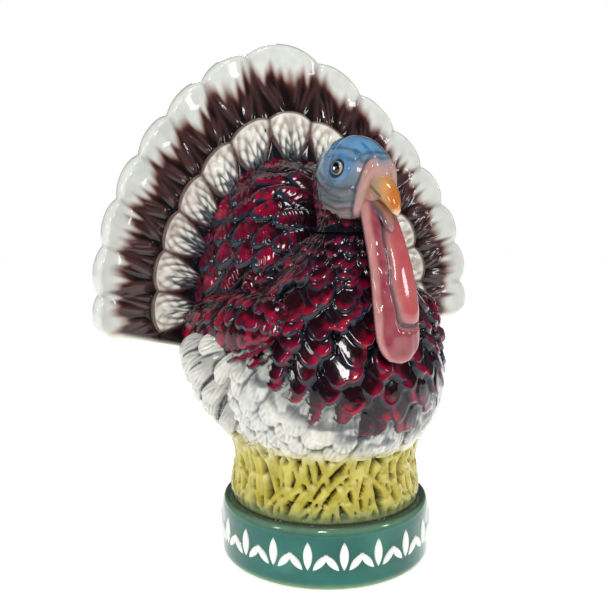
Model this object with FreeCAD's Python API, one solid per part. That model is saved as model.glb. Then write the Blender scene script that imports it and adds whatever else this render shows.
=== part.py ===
"""Glazed ceramic decanter shaped as a strutting turkey on a round plinth.

The bird faces -Y, +Z is up, and the origin is the centre of the plinth's
underside. The head is the stopper: it lifts straight up out of the neck with
its wattle and its cork. Millimetres throughout.
"""
import FreeCAD, Part
import math
import os
from FreeCAD import Vector

# ---------------------------------------------------------------- driving sizes
WALL = 5.5                 # cast wall of the bottle

PLINTH_R = 50.0            # foot radius, the largest round of the plinth
PLINTH_TOP_R = 47.5        # radius at the groove under the grass
PLINTH_H = 28.0
PLINTH_SHOULDER_Z = 22.5   # above this the side rounds in to the groove
FOOT_ROUND = 2.5
FOOT_RING_R = 40.0         # inside this radius the underside is recessed
FOOT_RECESS = 1.5
PLINTH_FLOOR_Z = 8.0       # floor of the bottle inside the plinth

FRIEZE_BOTTOM_Z = 9.5      # raised white leaf band on the plinth
FRIEZE_H = 12.5
FRIEZE_PROUD = 1.2
FRIEZE_REPEATS = 20
LEAF_WIDTH = 4.4           # the sprig's upright leaf
SIDE_LEAF_LENGTH = 9.75    # its two side leaves, leaning outwards
SIDE_LEAF_WIDTH = 3.6
SIDE_LEAF_OFFSET = 2.2
SIDE_LEAF_TILT = 42.0      # degrees
LEAF_WIDEST = 0.45         # how far along a leaf its widest place is

GRASS_BOTTOM_R = 45.0
GRASS_WAIST_R = 42.0
GRASS_WAIST_Z = 44.0
GRASS_TOP_R = 43.0
GRASS_TOP_Z = 56.0

BODY_TOP_Z = 132.0         # deck on which the neck and the back stand
NECK_Y = -26.0             # vertical axis of the neck, cork and head
NECK_TOP_Z = 154.0
BORE_R = 9.5
BORE_GAP = 0.3             # cork to bore, and head to neck rim
CORK_LENGTH = 20.0
CORK_R = BORE_R - BORE_GAP
SHANK_R = 4.5              # clay peg inside the cork

FAN_AXIS_Y = -197.0        # the fan is cupped round a vertical axis ahead of the bird
FAN_FRONT_R = 244.0
FAN_THICKNESS = 8.0
COVERTS_THICKNESS = 8.0
FAN_HUB_Z = 115.0          # the feathers radiate from this height
FAN_SIDE_R = 97.0
FAN_CREST_R = 33.5         # extra reach of the notches at the top of the fan
FAN_CREST_SPREAD = 32.5    # degrees
FAN_CENTRE_HALF = 9.3      # degrees, half of the centre feather
FAN_STEP = 12.55           # degrees per side feather
FAN_SIDE_FEATHERS = 7
FAN_TIP_BULGE = 3.6
COVERTS_SCALE = 0.74       # the short row against the long one
COVERTS_CENTRE_HALF = 7.2
COVERTS_STEP = 15.0
COVERTS_SIDE_FEATHERS = 6

HEAD_CENTRE = Vector(0, -27, 176)
HEAD_SEMI = Vector(14.2, 25.0, 18.6)
HEAD_SEAT_Z = NECK_TOP_Z + BORE_GAP
HEAD_SEAT_R = 14.5

EYE_CENTRE = Vector(12.0, -34.0, 180.0)
EYE_R = 3.6

HEADROOM = 300.0           # taller and deeper than the whole piece, for cutting tools
OVAL_POINTS = 20           # points that shape each spline oval
OUT = "parts"


# ---------------------------------------------------------------- small helpers
def export(name, shape):
    if not shape.isValid():
        raise ValueError(name + " is not a valid solid")
    shape.exportStep(os.path.join(OUT, name + ".step"))
    print("%-18s %8.1f cm3  %d solid(s)" % (name, shape.Volume / 1000.0, len(shape.Solids)))


def closed_oval(centre, side, rise):
    """Closed spline oval round centre. It starts at the side vector, so lofts don't twist."""
    points = []
    for i in range(OVAL_POINTS):
        turn = 2.0 * math.pi * i / OVAL_POINTS
        points.append(centre + side * math.cos(turn) + rise * math.sin(turn))
    curve = Part.BSplineCurve()
    curve.interpolate(points, PeriodicFlag=True)
    return Part.Wire(curve.toShape())


def rounded_loft(sections):
    """Smooth solid through level ovals given as (z, front, back, half_width)."""
    wires = []
    for z, front, back, half_width in sections:
        centre = Vector(0, (front + back) / 2.0, z)
        wires.append(closed_oval(centre, Vector(half_width, 0, 0), Vector(0, (back - front) / 2.0, 0)))
    return Part.makeLoft(wires, True, False)


def shrink(sections, wall):
    return [(z, front + wall, back - wall, half_width - wall) for z, front, back, half_width in sections]


def ellipsoid(centre, semi):
    ball = Part.makeSphere(1.0)
    matrix = FreeCAD.Matrix()
    matrix.scale(semi.x, semi.y, semi.z)
    ball = ball.transformGeometry(matrix)
    ball.translate(centre)
    return ball


def upright(radius, x, y, z_low, z_high):
    return Part.makeCylinder(radius, z_high - z_low, Vector(x, y, z_low), Vector(0, 0, 1))


def mirrored(shape):
    return shape.mirror(Vector(0, 0, 0), Vector(1, 0, 0))


def revolve(points):
    """Solid of revolution about the Z axis from (radius, z) corners."""
    corners = [Vector(r, 0, z) for r, z in points]
    face = Part.Face(Part.makePolygon(corners + [corners[0]]))
    return face.revolve(Vector(0, 0, 0), Vector(0, 0, 1), 360)


# ---------------------------------------------------------------- plinth and grass
def plinth():
    outer = upright(PLINTH_R, 0, 0, 0, PLINTH_H)
    foot_edge = [e for e in outer.Edges if abs(e.BoundBox.ZMax) < 1e-6 and e.BoundBox.XLength > PLINTH_R]
    outer = outer.makeFillet(FOOT_ROUND, foot_edge)
    top_edge = [e for e in outer.Edges if abs(e.BoundBox.ZMin - PLINTH_H) < 1e-6]
    outer = outer.makeChamfer(PLINTH_H - PLINTH_SHOULDER_Z, PLINTH_R - PLINTH_TOP_R, top_edge)
    outer = outer.cut(upright(PLINTH_R - WALL, 0, 0, PLINTH_FLOOR_Z, PLINTH_H))
    return outer.cut(upright(FOOT_RING_R, 0, 0, 0, FOOT_RECESS))


def leaf(length, width):
    """Almond-shaped outline in the XZ plane, its stalk end at the origin, pointing up."""
    stalk = Vector(0, 0, 0)
    tip = Vector(0, 0, length)
    left = Part.Arc(stalk, Vector(-width / 2.0, 0, length * LEAF_WIDEST), tip).toShape()
    right = Part.Arc(tip, Vector(width / 2.0, 0, length * LEAF_WIDEST), stalk).toShape()
    return Part.Face(Part.Wire([left, right]))


def plinth_frieze():
    """Band of three-leaf sprigs, each leaf a thin raised pad on the plinth's side."""
    leaves = [(0.0, 0.0, FRIEZE_H, LEAF_WIDTH),
              (-SIDE_LEAF_OFFSET, -SIDE_LEAF_TILT, SIDE_LEAF_LENGTH, SIDE_LEAF_WIDTH),
              (SIDE_LEAF_OFFSET, SIDE_LEAF_TILT, SIDE_LEAF_LENGTH, SIDE_LEAF_WIDTH)]
    band = upright(PLINTH_R + FRIEZE_PROUD, 0, 0, 0, PLINTH_H)
    band = band.cut(upright(PLINTH_R, 0, 0, 0, PLINTH_H))
    pads = []
    for offset, tilt, length, width in leaves:
        outline = leaf(length, width)
        outline.rotate(Vector(0, 0, 0), Vector(0, 1, 0), tilt)
        outline.translate(Vector(offset, -PLINTH_R - 2 * FRIEZE_PROUD, FRIEZE_BOTTOM_Z))
        pads.append(outline.extrude(Vector(0, 4 * FRIEZE_PROUD, 0)).common(band))
    solids = []
    for i in range(FRIEZE_REPEATS):
        for pad in pads:
            copy = pad.copy()
            copy.rotate(Vector(0, 0, 0), Vector(0, 0, 1), 360.0 * i / FRIEZE_REPEATS)
            solids.extend(copy.Solids)
    return Part.makeCompound(solids)


def grass_collar():
    outer = [(PLINTH_H, GRASS_BOTTOM_R), (GRASS_WAIST_Z, GRASS_WAIST_R), (GRASS_TOP_Z, GRASS_TOP_R)]
    profile = [(r, z) for z, r in outer] + [(r - WALL, z) for z, r in reversed(outer)]
    return revolve(profile)


# ---------------------------------------------------------------- body
BODY = [
    (56.0, -43.0, 43.0, 43.0),
    (61.0, -50.0, 45.0, 47.0),
    (68.0, -56.0, 46.0, 50.5),
    (78.0, -60.0, 46.5, 52.5),
    (90.0, -60.0, 46.5, 53.5),
    (100.0, -57.5, 46.5, 53.5),
    (112.0, -53.5, 46.5, 52.0),
    (BODY_TOP_Z, -48.0, 46.5, 49.5),
]

NECK = [
    (BODY_TOP_Z, -48.0, -4.0, 24.0),
    (143.0, -45.5, -6.0, 20.0),
    (NECK_TOP_Z, -42.5, -9.5, 16.5),
]

BACK = [
    (BODY_TOP_Z, -14.0, 46.5, 49.0),
    (148.0, -8.0, 46.5, 46.5),
    (163.0, 2.0, 46.5, 40.5),
    (177.0, 13.0, 46.5, 31.5),
    (188.0, 23.0, 46.0, 20.0),
    (194.0, 30.0, 45.0, 9.0),
]
BACK_CAVITY_TOP = 3        # sections of the back that are hollow


def body_shell():
    """Breast, belly and flanks: a hollow casting open below, with a deck on top."""
    inner = shrink(BODY, WALL)
    deck_z = BODY_TOP_Z - WALL
    room = upright(PLINTH_R * 2, 0, 0, GRASS_TOP_Z, deck_z)
    cavity = rounded_loft(inner).common(room)
    shell = rounded_loft(BODY).cut(cavity)
    shell = shell.cut(upright(BORE_R, 0, NECK_Y, deck_z - 1, BODY_TOP_Z + 1))
    back_hole = shrink(BACK[:1], WALL)[0]
    hole_low = (deck_z - 1,) + back_hole[1:]
    hole_high = (BODY_TOP_Z + 1,) + back_hole[1:]
    return shell.cut(rounded_loft([hole_low, hole_high]).cut(neck_outline_block()))


def neck_outline_block():
    """The neck's footprint carried through the deck, so that the deck stays whole under it."""
    low = (BODY_TOP_Z - 2 * WALL,) + NECK[0][1:]
    high = (BODY_TOP_Z + WALL,) + NECK[0][1:]
    return rounded_loft([low, high])


def neck():
    column = rounded_loft(NECK)
    return column.cut(upright(BORE_R, 0, NECK_Y, BODY_TOP_Z - 1, NECK_TOP_Z + 1))


def back_hump():
    """The raised back between the neck and the fan, hollow in its lower part."""
    hump = rounded_loft(BACK)
    hollow = shrink(BACK[:BACK_CAVITY_TOP + 1], WALL)
    neck_skin = rounded_loft([(z, front - WALL, back + WALL, half_width + WALL)
                              for z, front, back, half_width in NECK])
    cavity = rounded_loft(hollow).cut(neck_skin)
    return hump.cut(cavity).cut(rounded_loft(NECK))


# ---------------------------------------------------------------- wings and flanks
WING_CENTRE = Vector(43.5, 4, 113)
WING_SEMI = Vector(15.0, 40.0, 20.0)
WING_SPLAY = -16.0         # degrees: the wing's tail end stands out from the body
WING_DIP = -9.0            # degrees: and lies lower than its shoulder
FLANK_CENTRE = Vector(42, 14, 90)
FLANK_SEMI = Vector(24.0, 32.0, 31.0)


def ahead_of_fan():
    return upright(FAN_FRONT_R, 0, FAN_AXIS_Y, 0, HEADROOM)


def body_outside():
    """Everything that the body and back fill, with no cavities."""
    return rounded_loft(BODY).fuse(rounded_loft(BACK))


def wing_pad():
    pad = ellipsoid(Vector(0, 0, 0), WING_SEMI)
    pad.rotate(Vector(0, 0, 0), Vector(1, 0, 0), WING_DIP)
    pad.rotate(Vector(0, 0, 0), Vector(0, 0, 1), WING_SPLAY)
    pad.translate(WING_CENTRE)
    return pad


def left_wing(outside):
    """Closed wing laid against the side: covert shoulder in front, tip at the fan."""
    pad = wing_pad().common(ahead_of_fan()).cut(outside)
    return max(pad.Solids, key=lambda solid: solid.Volume)


def left_quills(outside):
    """Drooping cream wing quills and flank under the wing."""
    pad = ellipsoid(FLANK_CENTRE, FLANK_SEMI).common(ahead_of_fan()).cut(outside)
    return pad.cut(wing_pad())


# ---------------------------------------------------------------- fan
def notch_reach(turn):
    """Distance from the hub to the notches between feather tips, by angle from upright."""
    return FAN_SIDE_R + FAN_CREST_R / (1.0 + (turn / FAN_CREST_SPREAD) ** 2)


def polar(turn, reach):
    angle = math.radians(turn)
    return Vector(reach * math.sin(angle), 0, FAN_HUB_Z + reach * math.cos(angle))


def scalloped_face(centre_half, step, side_feathers, scale, bulge, root):
    """Fan outline in the XZ plane: one arc per feather tip, closed through the root points."""
    turns = [centre_half + step * i for i in range(side_feathers + 1)]
    turns = [-t for t in reversed(turns)] + turns
    edges = []
    for low, high in zip(turns[:-1], turns[1:]):
        middle = (low + high) / 2.0
        start = polar(low, scale * notch_reach(low))
        end = polar(high, scale * notch_reach(high))
        top = polar(middle, scale * notch_reach(middle) + bulge)
        edges.append(Part.Arc(start, top, end).toShape())
    first = edges[0].Vertexes[0].Point
    last = edges[-1].Vertexes[-1].Point
    right_root = [Vector(x, 0, z) for x, z in root]
    left_root = [Vector(-x, 0, z) for x, z in reversed(root)]
    corners = [last] + right_root + left_root + [first]
    for low, high in zip(corners[:-1], corners[1:]):
        edges.append(Part.LineSegment(low, high).toShape())
    return Part.Face(Part.Wire(edges))


def cupped_slab(face, inner_r, outer_r):
    """A flat outline turned into a slab that follows the fan's cupped surface."""
    outline = face.copy()
    outline.translate(Vector(0, -HEADROOM / 2.0, 0))
    prism = outline.extrude(Vector(0, HEADROOM, 0))
    ring = upright(outer_r, 0, FAN_AXIS_Y, 0, HEADROOM)
    ring = ring.cut(upright(inner_r, 0, FAN_AXIS_Y, -1, HEADROOM + 1))
    return prism.common(ring)


FAN_ROOT = [(60.0, 95.0), (30.0, 88.0)]
COVERTS_ROOT = [(52.0, 100.0), (30.0, 96.0)]


def tail_fan():
    face = scalloped_face(FAN_CENTRE_HALF, FAN_STEP, FAN_SIDE_FEATHERS, 1.0, FAN_TIP_BULGE, FAN_ROOT)
    return cupped_slab(face, FAN_FRONT_R, FAN_FRONT_R + FAN_THICKNESS)


def tail_coverts(neighbours):
    """The short white row: a second slab laid on the front of the fan, round the raised back."""
    face = scalloped_face(COVERTS_CENTRE_HALF, COVERTS_STEP, COVERTS_SIDE_FEATHERS,
                          COVERTS_SCALE, FAN_TIP_BULGE * COVERTS_SCALE, COVERTS_ROOT)
    slab = cupped_slab(face, FAN_FRONT_R - COVERTS_THICKNESS, FAN_FRONT_R)
    sunk_back = [(BODY_TOP_Z - WALL,) + BACK[0][1:]] + BACK[1:]
    slab = slab.cut(rounded_loft(sunk_back)).cut(rounded_loft(BODY))
    for neighbour in neighbours:
        slab = slab.cut(neighbour)
    return max(slab.Solids, key=lambda solid: solid.Volume)


RUMP_CENTRE = Vector(0, 48, 106)
RUMP_SEMI = Vector(42.0, 17.0, 37.0)


def rump(outside, neighbours):
    """Soft under-tail feathers bunched behind the root of the fan."""
    behind = ellipsoid(RUMP_CENTRE, RUMP_SEMI)
    behind = behind.cut(upright(FAN_FRONT_R, 0, FAN_AXIS_Y, FAN_ROOT[-1][1], HEADROOM))
    behind = behind.cut(outside)
    for neighbour in neighbours:
        behind = behind.cut(neighbour)
    return max(behind.Solids, key=lambda solid: solid.Volume)


# ---------------------------------------------------------------- head, the stopper
WATTLE = [
    (100.5, -66.5, -61.5, 4.5),
    (105.0, -68.0, -60.5, 8.5),
    (114.0, -67.0, -58.3, 10.2),
    (124.0, -65.0, -55.5, 10.4),
    (134.0, -62.0, -53.0, 10.0),
    (146.0, -57.5, -48.5, 9.0),
    (157.0, -53.5, -43.5, 8.2),
    (165.0, -52.0, -40.0, 7.0),
]


def head_solid():
    """Skull with the round seat that sits on the neck rim."""
    seat = upright(HEAD_SEAT_R, 0, NECK_Y, HEAD_SEAT_Z, HEAD_CENTRE.z)
    return ellipsoid(HEAD_CENTRE, HEAD_SEMI).fuse(seat)


def head_shell(head, taken):
    shank = upright(SHANK_R, 0, NECK_Y, HEAD_SEAT_Z - CORK_LENGTH - 1.0, HEAD_SEAT_Z + 1.0)
    shell = head.fuse(shank)
    for piece in taken:
        shell = shell.cut(piece)
    return shell.removeSplitter()


def stopper_cork():
    cork = upright(CORK_R, 0, NECK_Y, HEAD_SEAT_Z - CORK_LENGTH, HEAD_SEAT_Z)
    return cork.cut(upright(SHANK_R, 0, NECK_Y, HEAD_SEAT_Z - CORK_LENGTH, HEAD_SEAT_Z))


def beak_wedge(sections):
    """Beak half as a loft of ovals that stand across the line of the beak."""
    wires = []
    for y, z, half_width, half_height in sections:
        wires.append(closed_oval(Vector(0, y, z), Vector(half_width, 0, 0), Vector(0, 0, half_height)))
    return Part.makeLoft(wires, True, False)


def beak_upper(head):
    return beak_wedge([(-47.0, 171.5, 6.0, 5.2), (-53.5, 169.0, 4.8, 4.6),
                       (-58.5, 165.5, 3.2, 3.4), (-61.5, 161.5, 1.4, 1.6)]).cut(head)


def beak_lower(head):
    return beak_wedge([(-46.0, 163.6, 5.2, 2.2), (-52.0, 162.2, 4.0, 1.8),
                       (-56.0, 160.6, 2.4, 1.2)]).cut(head)


def wattle(head, beaks):
    """Hanging wattle and snood: a long flap from the beak down to the breast."""
    flap = rounded_loft(WATTLE).cut(head)
    for beak in beaks:
        flap = flap.cut(beak)
    return max(flap.Solids, key=lambda solid: solid.Volume)


def main():
    os.makedirs(OUT, exist_ok=True)
    outside = body_outside()
    wing = left_wing(outside)
    quills = left_quills(outside)
    fan = tail_fan()

    export("plinth", plinth())
    export("plinth_frieze", plinth_frieze())
    export("grass_collar", grass_collar())
    export("body_shell", body_shell())
    export("neck", neck())
    export("back_hump", back_hump())
    export("left_wing", wing)
    export("right_wing", mirrored(wing))
    export("left_quills", quills)
    export("right_quills", mirrored(quills))
    export("tail_fan", fan)
    export("tail_coverts", tail_coverts([wing, mirrored(wing), quills, mirrored(quills)]))
    export("rump", rump(outside, [fan, quills, mirrored(quills)]))

    head = head_solid()
    upper = beak_upper(head)
    lower = beak_lower(head)
    eye = Part.makeSphere(EYE_R, EYE_CENTRE)
    export("beak_upper", upper)
    export("beak_lower", lower)
    export("wattle", wattle(head, [upper, lower]))
    export("left_eye", eye)
    export("right_eye", mirrored(eye))
    export("head_shell", head_shell(head, [eye, mirrored(eye), stopper_cork()]))
    export("stopper_cork", stopper_cork())


main()
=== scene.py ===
"""Looks of the glazed ceramic turkey decanter.

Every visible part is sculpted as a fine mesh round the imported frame. Relief is laid on
a base surface in millimetres (feathers, blades, strokes), and the hand colouring is
worked out from the same relief and kept in a colour attribute named "paint".
The bird faces -Y, +Z is up, and its left side is +X.
"""
import math

import bpy
import numpy as np
from mathutils import Matrix, Vector


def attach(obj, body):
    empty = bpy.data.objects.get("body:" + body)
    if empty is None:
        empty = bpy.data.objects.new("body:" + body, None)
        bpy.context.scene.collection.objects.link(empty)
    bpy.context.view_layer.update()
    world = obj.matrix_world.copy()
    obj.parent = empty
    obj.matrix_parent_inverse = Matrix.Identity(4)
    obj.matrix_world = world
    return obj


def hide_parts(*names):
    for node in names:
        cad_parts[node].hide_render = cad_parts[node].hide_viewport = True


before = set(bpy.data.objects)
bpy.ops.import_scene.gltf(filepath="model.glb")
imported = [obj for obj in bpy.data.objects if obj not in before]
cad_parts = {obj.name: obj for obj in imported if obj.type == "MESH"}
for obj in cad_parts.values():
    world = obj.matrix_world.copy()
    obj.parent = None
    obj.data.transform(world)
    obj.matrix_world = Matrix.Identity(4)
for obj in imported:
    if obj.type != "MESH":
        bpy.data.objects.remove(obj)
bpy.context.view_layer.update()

MM = 0.001
SEED = 11
rng = np.random.default_rng(SEED)


# ------------------------------------------------------------------ numbers and noise
def clamp(x, low=0.0, high=1.0):
    return np.minimum(np.maximum(x, low), high)


def step(low, high, x):
    """Smooth 0 to 1 as x goes from low to high, or 1 to 0 as it rises if low is the larger."""
    t = clamp((x - low) / (high - low))
    return t * t * (3.0 - 2.0 * t)


def mix(a, b, t):
    t = np.asarray(t)[..., None]
    return np.asarray(a, float) * (1.0 - t) + np.asarray(b, float) * t


def unit(v):
    return v / np.maximum(np.linalg.norm(v, axis=-1, keepdims=True), 1e-9)


def full_turn(count):
    return np.linspace(0, 2 * math.pi, count, endpoint=False)


def bell(x, width, power=2):
    """1 at x = 0, falling off to both sides over about the given width."""
    return np.exp(-(x / width) ** power)


def xyz(x, y, z):
    return np.stack(np.broadcast_arrays(x, y, z), -1)


def coats(colour, layers):
    """Lays (colour, amount) layers over a colour, one after another."""
    for layer, amount in layers:
        colour = mix(colour, layer, amount)
    return colour


def srgb(r, g, b):
    """Linear colour from 0-255 display values."""
    c = np.array([r, g, b], float) / 255.0
    return np.where(c <= 0.04045, c / 12.92, ((c + 0.055) / 1.055) ** 2.4)


def lattice(ix, iy, iz, seed):
    n = (ix * 73856093) ^ (iy * 19349663) ^ (iz * 83492791) ^ (seed * 6971)
    n = (n ^ (n >> 13)) & 0x7FFFFFFF
    n = (n * 1274126177) & 0x7FFFFFFF
    return ((n ^ (n >> 15)) & 0xFFFF) / 65535.0


def noise(p, size, seed=0):
    """Smooth value noise, 0 to 1, of points p in mm with cells of the given size."""
    q = p / size
    i = np.floor(q).astype(np.int64)
    f = q - i
    f = f * f * (3.0 - 2.0 * f)
    total = 0.0
    for dx in (0, 1):
        wx = f[..., 0] if dx else 1.0 - f[..., 0]
        for dy in (0, 1):
            wy = f[..., 1] if dy else 1.0 - f[..., 1]
            for dz in (0, 1):
                wz = f[..., 2] if dz else 1.0 - f[..., 2]
                total = total + wx * wy * wz * lattice(i[..., 0] + dx, i[..., 1] + dy, i[..., 2] + dz, seed)
    return total


def profile(knots, values, soft=2.5):
    """Function through (knot, value) pairs with its corners rounded over about 2*soft."""
    fine = np.linspace(knots[0], knots[-1], 600)
    line = np.interp(fine, knots, values)
    pitch = fine[1] - fine[0]
    reach = max(int(3 * soft / pitch), 1)
    kernel = np.exp(-0.5 * (np.arange(-reach, reach + 1) * pitch / soft) ** 2)
    kernel /= kernel.sum()
    padded = np.concatenate([2 * line[0] - line[reach:0:-1], line, 2 * line[-1] - line[-2:-reach - 2:-1]])
    smooth = np.convolve(padded, kernel, mode="valid")
    return lambda x: np.interp(x, fine, smooth)


def blur(field, cells, wrap):
    """Gaussian blur of a grid, wrapped along its second axis if asked."""
    reach = int(3 * cells)
    kernel = np.exp(-0.5 * (np.arange(-reach, reach + 1) / cells) ** 2)
    kernel /= kernel.sum()
    out = np.pad(field, ((reach, reach), (0, 0)), mode="edge")
    out = sum(w * out[k:k + field.shape[0]] for k, w in enumerate(kernel))
    out = np.pad(out, ((0, 0), (reach, reach)), mode="wrap" if wrap else "edge")
    return sum(w * out[:, k:k + field.shape[1]] for k, w in enumerate(kernel))


# ------------------------------------------------------------------ sculpting
UNDER = -3.0               # relief of a spot that no feather covers, mm


class Skin:
    """A grid on a base surface that collects relief and feather coordinates."""

    def __init__(self, surface, u, v, outward, wrap=False):
        self.u, self.v = np.meshgrid(u, v, indexing="ij")
        self.surface = surface
        self.wrap = wrap
        self.base = surface(self.u, self.v)
        du = np.gradient(self.base, axis=0)
        if wrap:
            around = (np.roll(self.base, -1, axis=1) - np.roll(self.base, 1, axis=1)) / 2.0
        else:
            around = np.gradient(self.base, axis=1)
        normal = unit(np.cross(du, around))
        self.flip = np.sum(normal * (self.base - np.asarray(outward, float))) < 0
        self.normal = -normal if self.flip else normal
        shape = self.u.shape
        self.height = np.full(shape, UNDER)
        self.along = np.zeros(shape)       # 0 at a feather's root, 1 at its tip
        self.inside = np.zeros(shape)      # 0 at the outline, 1 on the shaft
        self.groove = np.zeros(shape)      # 1 in a barb groove
        self.tint = np.full(shape, 0.5)    # one random number per feather
        self.kind = np.zeros(shape)        # 1 on cream feathers
        self.patchy = 0.25 + 0.75 * step(0.35, 0.6, noise(self.base, 4.0, 7))      # barbs come and go

    def place(self, u, v):
        """Point and outward normal of the base at (u, v)."""
        du, dv = 1e-3 * np.ptp(self.u), 1e-3 * np.ptp(self.v)
        p = self.surface(np.array([u, u + du, u]), np.array([v, v, v + dv]))
        normal = unit(np.cross(p[1] - p[0], p[2] - p[0]))
        return p[0], -normal if self.flip else normal

    def feather(self, u, v, flow, length, half_width, lift=1.2, crown=0.5, barb=0.16, pitch=2.2,
                slant=0.8, shaft=0.0, bend=0.0, rim=0.0, nose=1.15, drop=0.45, kind=0.0):
        """Raises one feather whose middle is at (u, v) and whose tip points along flow."""
        point, normal = self.place(u, v)
        ahead = np.asarray(flow, float) - normal * np.dot(flow, normal)
        ahead = ahead / max(np.linalg.norm(ahead), 1e-9)
        side = np.cross(normal, ahead)
        offset = self.base - point
        near = np.einsum("ijk,ijk->ij", offset, offset) < (0.62 * length + half_width) ** 2
        if not near.any():
            return
        local = offset[near]
        s = local @ ahead + length / 2.0
        t = local @ side + bend * (s / length) ** 2
        nose = min(nose * half_width, 0.6 * length)
        taper = 0.72 + 0.28 * clamp(s / length)
        past = np.maximum(s - (length - nose), 0.0) / nose
        e = 1.0 - np.sqrt(past ** 2 + (t / (half_width * taper)) ** 2)
        phase = (s * math.cos(slant) - np.abs(t) * math.sin(slant)) / pitch + rng.random()
        cut = np.abs(np.cos(math.pi * phase)) ** 5 * step(0.02, 0.25, e) * step(0.05, 0.3, s / length)
        cut = cut * self.patchy[near]
        h = lift * clamp(s / length) + crown * (1.0 - clamp(np.abs(t) / half_width) ** 2)
        h = h - drop * step(0.22, 0.0, e) - barb * cut
        h = h + shaft * bell(t, 0.55) + rim * bell(e - 0.1, 0.07)
        h = np.where((e > 0) & (s > 0), h, h - 20.0)
        seed = rng.random()
        higher = h > self.height[near]
        for field, value in ((self.height, h), (self.along, s / length), (self.inside, e), (self.groove, cut),
                             (self.tint, np.full_like(h, seed)), (self.kind, np.full_like(h, kind))):
            spot = field[near]
            spot[higher] = value[higher]
            field[near] = spot

    def soften(self, cells=0.8):
        """Rounds the relief off, as the glaze does."""
        self.height = blur(np.maximum(self.height, UNDER), cells, self.wrap)

    def cavity(self, cells=3.0):
        """How deep each spot lies under its surroundings, in mm."""
        return blur(self.height, cells, self.wrap) - self.height

    def level(self, share, height):
        """Fades the relief into a plain height where share is 1."""
        self.height = self.height * (1.0 - share) + height * share

    def mesh(self, name, paint):
        """Turns the grid into an object, with its paint."""
        points = self.base + self.normal * self.height[..., None]
        return grid_object(name, points, paint, self.flip, self.wrap)


def grid_faces(rows, cols, flip, wrap):
    r = np.arange(rows - 1)[:, None]
    c = np.arange(cols if wrap else cols - 1)[None, :]
    n = (c + 1) % cols
    quads = np.stack([r * cols + c, (r + 1) * cols + c, (r + 1) * cols + n, r * cols + n], axis=-1)
    quads = quads.reshape(-1, 4)
    return quads[:, ::-1] if flip else quads


def make_object(name, points, faces, paint):
    """Smooth mesh object from points in mm, quads and one linear colour per point."""
    mesh = bpy.data.meshes.new(name)
    mesh.vertices.add(len(points))
    mesh.vertices.foreach_set("co", (points * MM).astype(np.float32).ravel())
    mesh.loops.add(faces.size)
    mesh.loops.foreach_set("vertex_index", faces.astype(np.int32).ravel())
    mesh.polygons.add(len(faces))
    mesh.polygons.foreach_set("loop_start", np.arange(0, faces.size, 4, dtype=np.int32))
    mesh.polygons.foreach_set("loop_total", np.full(len(faces), 4, dtype=np.int32))
    mesh.update(calc_edges=True)
    layer = mesh.color_attributes.new("paint", "FLOAT_COLOR", "POINT")
    rgba = np.ones((len(points), 4), np.float32)
    rgba[:, :3] = clamp(paint)
    layer.data.foreach_set("color", rgba.ravel())
    mesh.shade_smooth()
    obj = bpy.data.objects.new(name, mesh)
    bpy.context.scene.collection.objects.link(obj)
    return obj


def grid_object(name, points, paint, flip, wrap=False):
    rows, cols = points.shape[:2]
    obj = make_object(name, points.reshape(-1, 3), grid_faces(rows, cols, flip, wrap), paint.reshape(-1, 3))
    weld(obj)
    return obj


def weld(obj, gap=0.02):
    """Joins points that coincide, such as those of a pole or of two rims that meet."""
    bpy.context.view_layer.objects.active = obj
    modifier = obj.modifiers.new("weld", "WELD")
    modifier.merge_threshold = gap * MM
    bpy.ops.object.select_all(action="DESELECT")
    obj.select_set(True)
    bpy.ops.object.modifier_apply(modifier="weld")


def mirrored(obj, name):
    """A mirror image of obj across the bird's median plane."""
    twin = obj.copy()
    twin.data = obj.data.copy()
    twin.name = twin.data.name = name
    twin.data.transform(Matrix.Diagonal((-1, 1, 1, 1)))
    twin.data.flip_normals()
    bpy.context.scene.collection.objects.link(twin)
    return twin


def lathe(name, points, count, paint_at, detail=0.8, y=0.0):
    """Solid of revolution from (radius, z) corners with small rounds, its upright axis at the given y.

    paint_at gives the colours of points measured from that axis.
    """
    corners = np.array(points, float)
    lengths = np.linalg.norm(np.diff(corners, axis=0), axis=1)
    place = np.concatenate([[0.0], np.cumsum(lengths)])
    fine = np.arange(0.0, place[-1] + detail / 2.0, detail)
    r = np.interp(fine, place, corners[:, 0])
    z = np.interp(fine, place, corners[:, 1])
    for _ in range(2):
        r[1:-1] = (r[:-2] + 2 * r[1:-1] + r[2:]) / 4.0
        z[1:-1] = (z[:-2] + 2 * z[1:-1] + z[2:]) / 4.0
    turn = full_turn(count)
    grid = xyz(r[:, None] * np.cos(turn), r[:, None] * np.sin(turn), z[:, None] + 0 * turn)
    obj = grid_object(name, grid, paint_at(grid), False, wrap=True)
    obj.location.y = y * MM
    return obj


# ------------------------------------------------------------------ materials
def feed(tree, node, **inputs):
    """Sets a node's inputs by name, each to a number, a colour or another node's output."""
    for name, value in inputs.items():
        socket = node.inputs[name.replace("_", " ")]
        if isinstance(value, bpy.types.NodeSocket):
            tree.links.new(value, socket)
        else:
            socket.default_value = value


def new_node(tree, kind, **inputs):
    node = tree.nodes.new("ShaderNode" + kind)
    feed(tree, node, **inputs)
    return node


def new_material(name):
    mat = bpy.data.materials.new(name)
    mat.use_nodes = True
    return mat, mat.node_tree, mat.node_tree.nodes["Principled BSDF"]


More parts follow.
